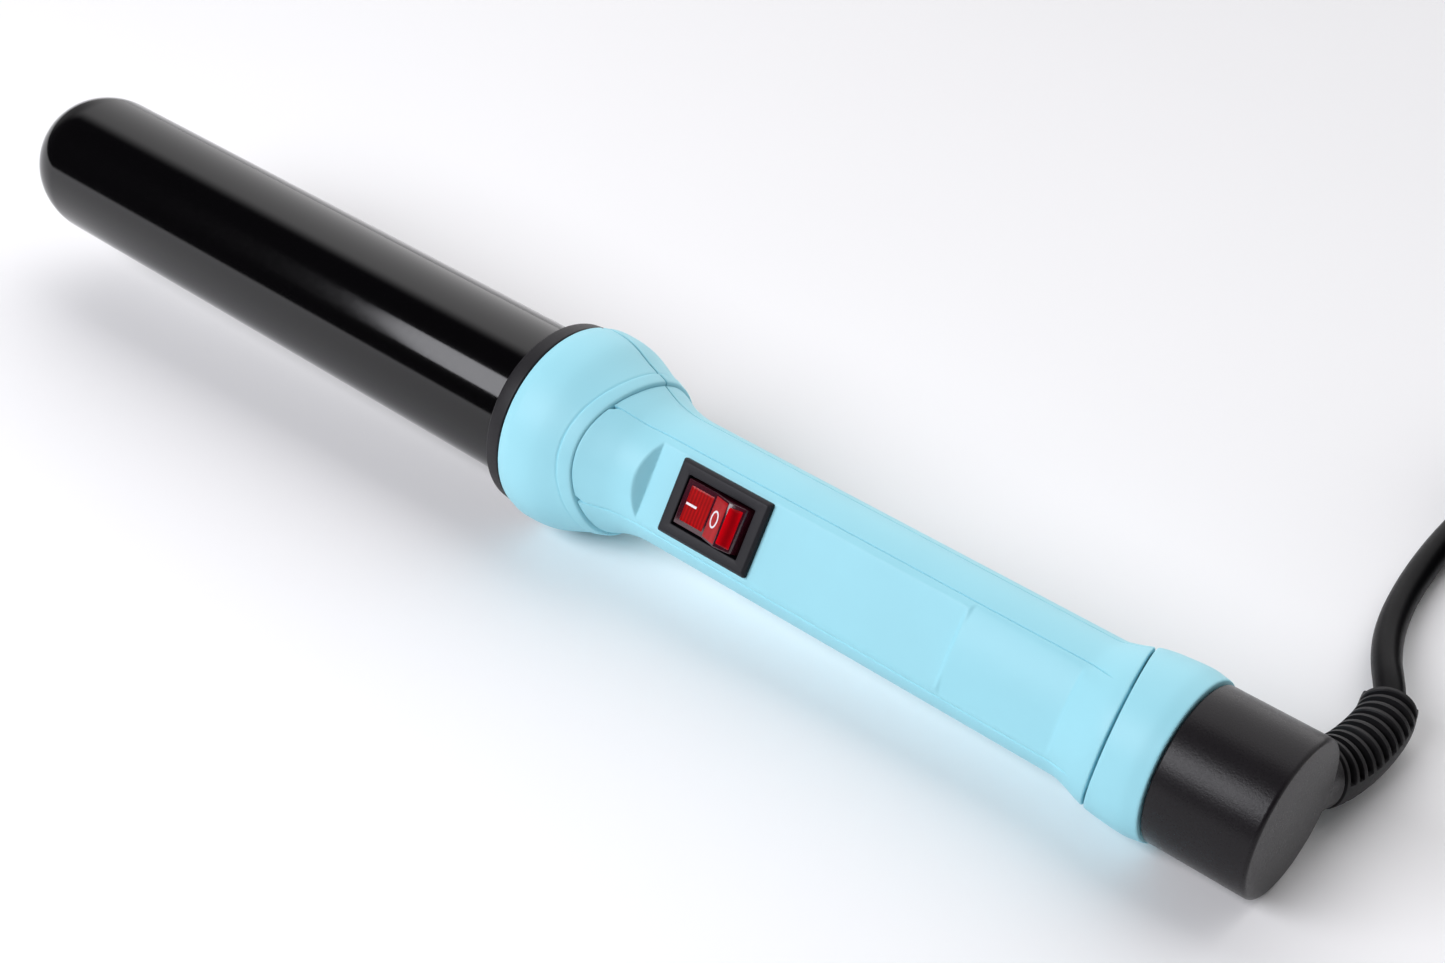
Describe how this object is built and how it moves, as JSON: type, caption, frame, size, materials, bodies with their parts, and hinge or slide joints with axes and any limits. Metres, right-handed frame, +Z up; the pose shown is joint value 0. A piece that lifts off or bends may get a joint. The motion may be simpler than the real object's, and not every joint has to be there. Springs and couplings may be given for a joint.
{
  "type": "curling wand",
  "caption": "Clipless electric curling wand: round barrel with a domed tip, flared grip with an inset rocker switch, swivelling end cap and mains cord.",
  "frame": {"origin": "bottom centre of the wand as it lies on a table, cord and strain relief not counted", "axes": "+X from the barrel's tip towards the end cap, +Z up, +Y towards the side the cord leaves by; the switch faces -Y and up"},
  "size_m": [0.3857, 0.2008, 0.0418],
  "materials": {
    "aqua": "soft-touch matte",
    "black_gloss": "polished ceramic coating",
    "black_matte": "fine matte",
    "red_clear": "clear gloss",
    "steel": "plain",
    "aluminium": "cast",
    "brass": "plain",
    "ceramic": "matte fired ceramic",
    "white_plastic": "satin",
    "silicone": "satin silicone rubber",
    "cord_black": "satin"
  },
  "bodies": {
    "handle": {"upper_shell": "aqua", "lower_shell": "aqua", "switch_panel": "aqua", "rear_ring": "aqua", "shell_screw_1": "steel", "shell_screw_2": "steel", "barrel_tube": "black_gloss", "heat_collar": "black_matte", "barrel_clamp": "steel", "barrel_screw_1": "steel", "barrel_screw_2": "steel", "barrel_screw_3": "steel", "heat_block_upper": "aluminium", "heat_block_lower": "aluminium", "heater_plate": "ceramic", "block_spring_1": "steel", "block_spring_2": "steel", "barrel_plug": "ceramic", "heat_shield": "white_plastic", "heater_lead_1": "silicone", "heater_lead_2": "silicone", "thermal_fuse": "white_plastic", "fuse_lead": "silicone", "switch_lead": "silicone", "switch_housing": "black_matte", "terminal_lamp": "brass", "terminal_common": "brass", "terminal_out": "brass", "neon_lamp": "red_clear", "brush_holder": "white_plastic", "brush_1": "brass", "brush_2": "brass"},
    "rocker": {"rocker": "red_clear", "rocker_spring": "steel", "rocker_plunger": "white_plastic"},
    "contact": {"contact_lever": "brass"},
    "swivel": {"swivel_cap": "black_matte", "cap_plate": "white_plastic", "swivel_spindle": "white_plastic", "retaining_clip": "steel", "slip_ring_1": "brass", "slip_ring_2": "brass", "cap_screw_1": "steel", "cap_screw_2": "steel", "cord_clamp": "white_plastic", "clamp_screw_1": "steel", "clamp_screw_2": "steel", "cord_core_1": "silicone", "cord_core_2": "silicone", "cord_end": "cord_black", "strain_relief": "black_matte", "cord": "cord_black", "cord_coil": "cord_black", "cord_tail": "cord_black", "cord_tie": "black_matte", "plug_body": "cord_black", "plug_pin_1": "brass", "plug_pin_2": "brass", "plug_sleeve_1": "black_matte", "plug_sleeve_2": "black_matte"}
  },
  "joints": [
    {"name": "cord_swivel", "type": "hinge", "parent": "handle", "child": "swivel", "pos_m": [0.14621, 0, 0.01535], "axis": [0.9994, 0, -0.0354], "continuous": true},
    {"name": "rocker_switch", "type": "hinge", "parent": "handle", "child": "rocker", "pos_m": [0.04812, -0.00737, 0.02326], "axis": [0.0304, 0.515, 0.8566], "range_deg": [0, 24]},
    {"name": "switch_contact", "type": "hinge", "parent": "handle", "child": "contact", "pos_m": [0.04799, -0.00103, 0.01945], "axis": [0.0304, 0.515, 0.8566], "range_deg": [-12, 0]}
  ],
  "couplings": [
    {"joint": "switch_contact", "follows": "rocker_switch", "ratio": -0.5}
  ]
}
